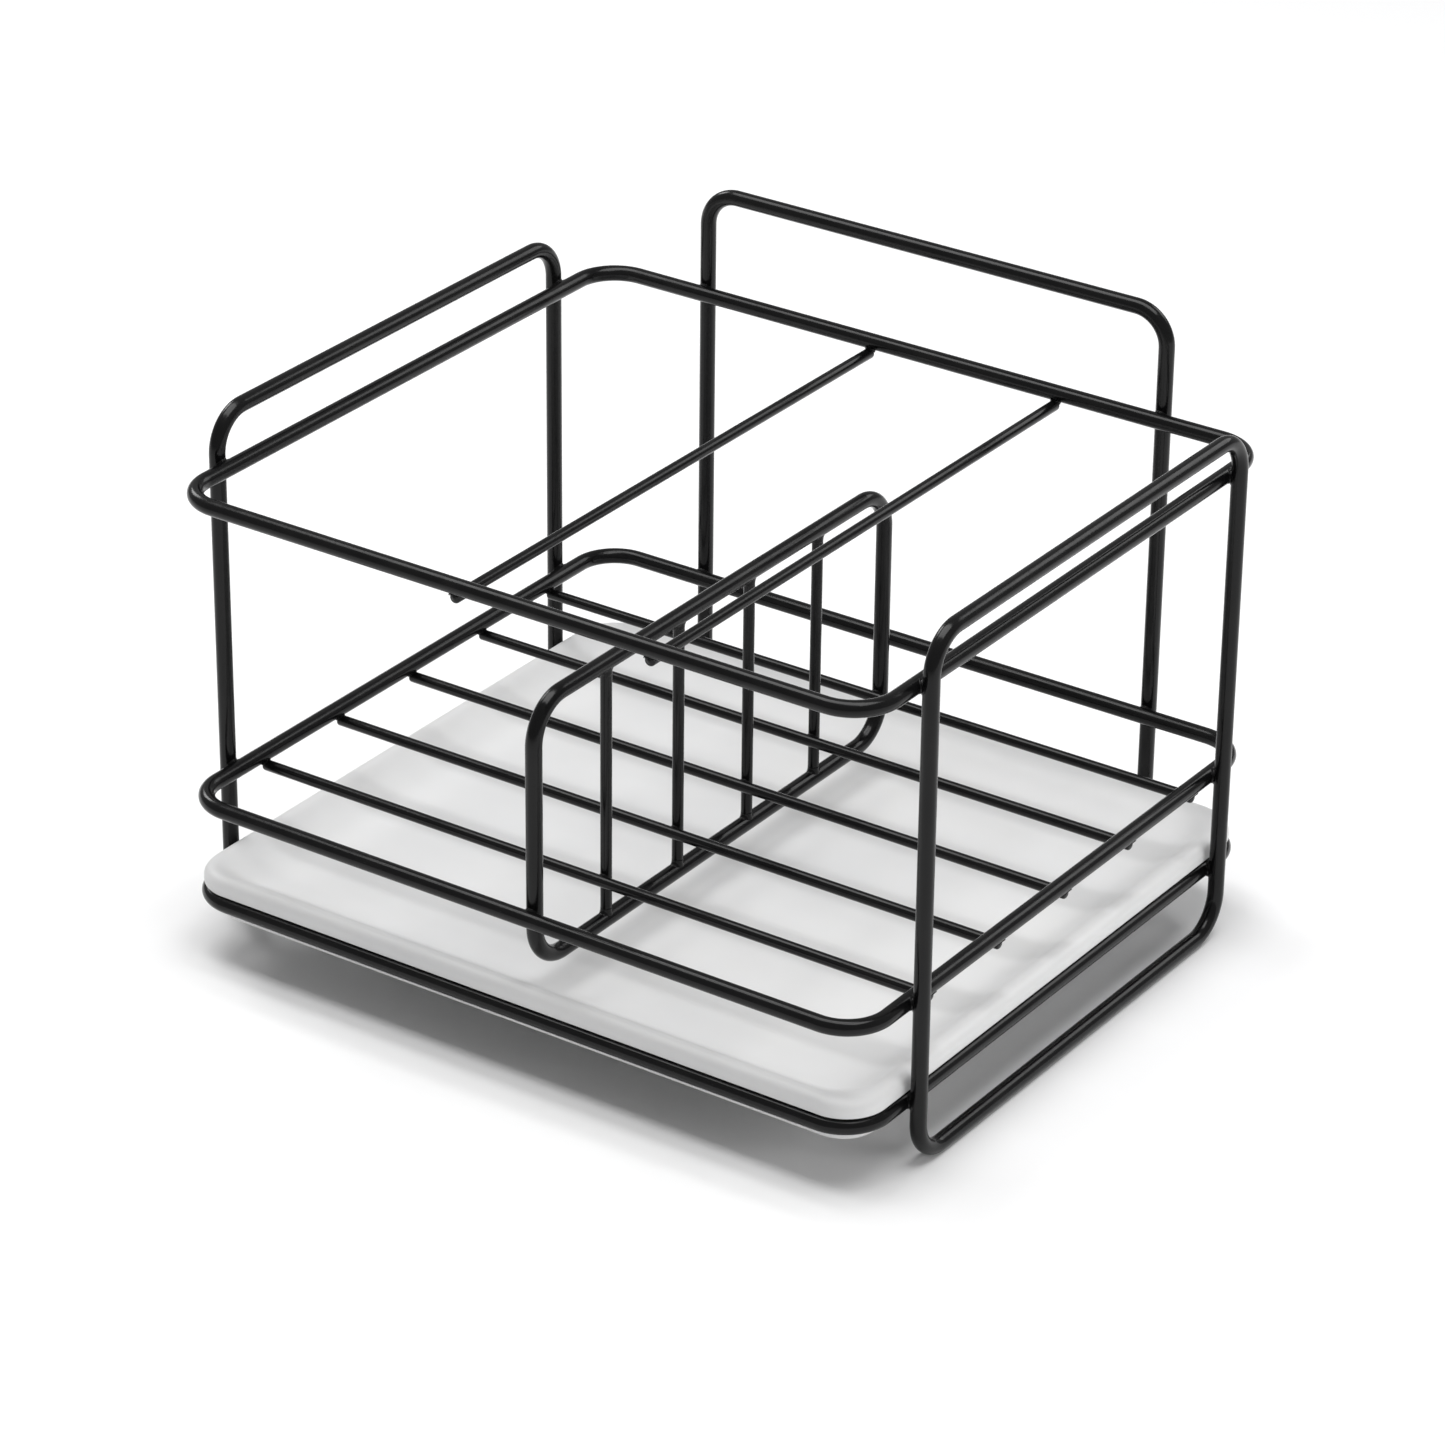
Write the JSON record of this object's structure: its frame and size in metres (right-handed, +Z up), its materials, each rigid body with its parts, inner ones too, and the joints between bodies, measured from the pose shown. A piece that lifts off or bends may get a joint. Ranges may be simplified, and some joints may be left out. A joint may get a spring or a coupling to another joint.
{
  "type": "dish drying rack",
  "caption": "Small welded wire dish drying rack standing on upright hoops, with a divider between the plate bays and a loose drip tray on the lowest ring.",
  "frame": {"origin": "on the counter, under the middle of the overall footprint", "axes": "+Z up, +X along the long front from left to right, +Y towards the tall back hoop"},
  "size_m": [0.2542, 0.2226, 0.188],
  "materials": {
    "black_wire": "gloss black coating on steel wire",
    "tray_plastic": "pale grey satin moulded plastic"
  },
  "bodies": {
    "rack": {"top_ring": "black_wire", "middle_ring": "black_wire", "bottom_ring": "black_wire", "left_hoop": "black_wire", "right_hoop": "black_wire", "back_hoop": "black_wire", "divider_loop": "black_wire", "divider_bar_1": "black_wire", "divider_bar_2": "black_wire", "divider_bar_3": "black_wire", "divider_bar_4": "black_wire", "floor_wire_1": "black_wire", "floor_wire_2": "black_wire", "floor_wire_3": "black_wire", "floor_wire_4": "black_wire", "floor_wire_5": "black_wire", "top_cross_wire_1": "black_wire", "top_cross_wire_2": "black_wire"},
    "tray": {"drip_tray": "tray_plastic"}
  },
  "joints": [
    {"name": "tray_lift", "type": "slide", "parent": "rack", "child": "tray", "axis": [0, 0, 1], "range_m": [0, 0.0066]}
  ]
}
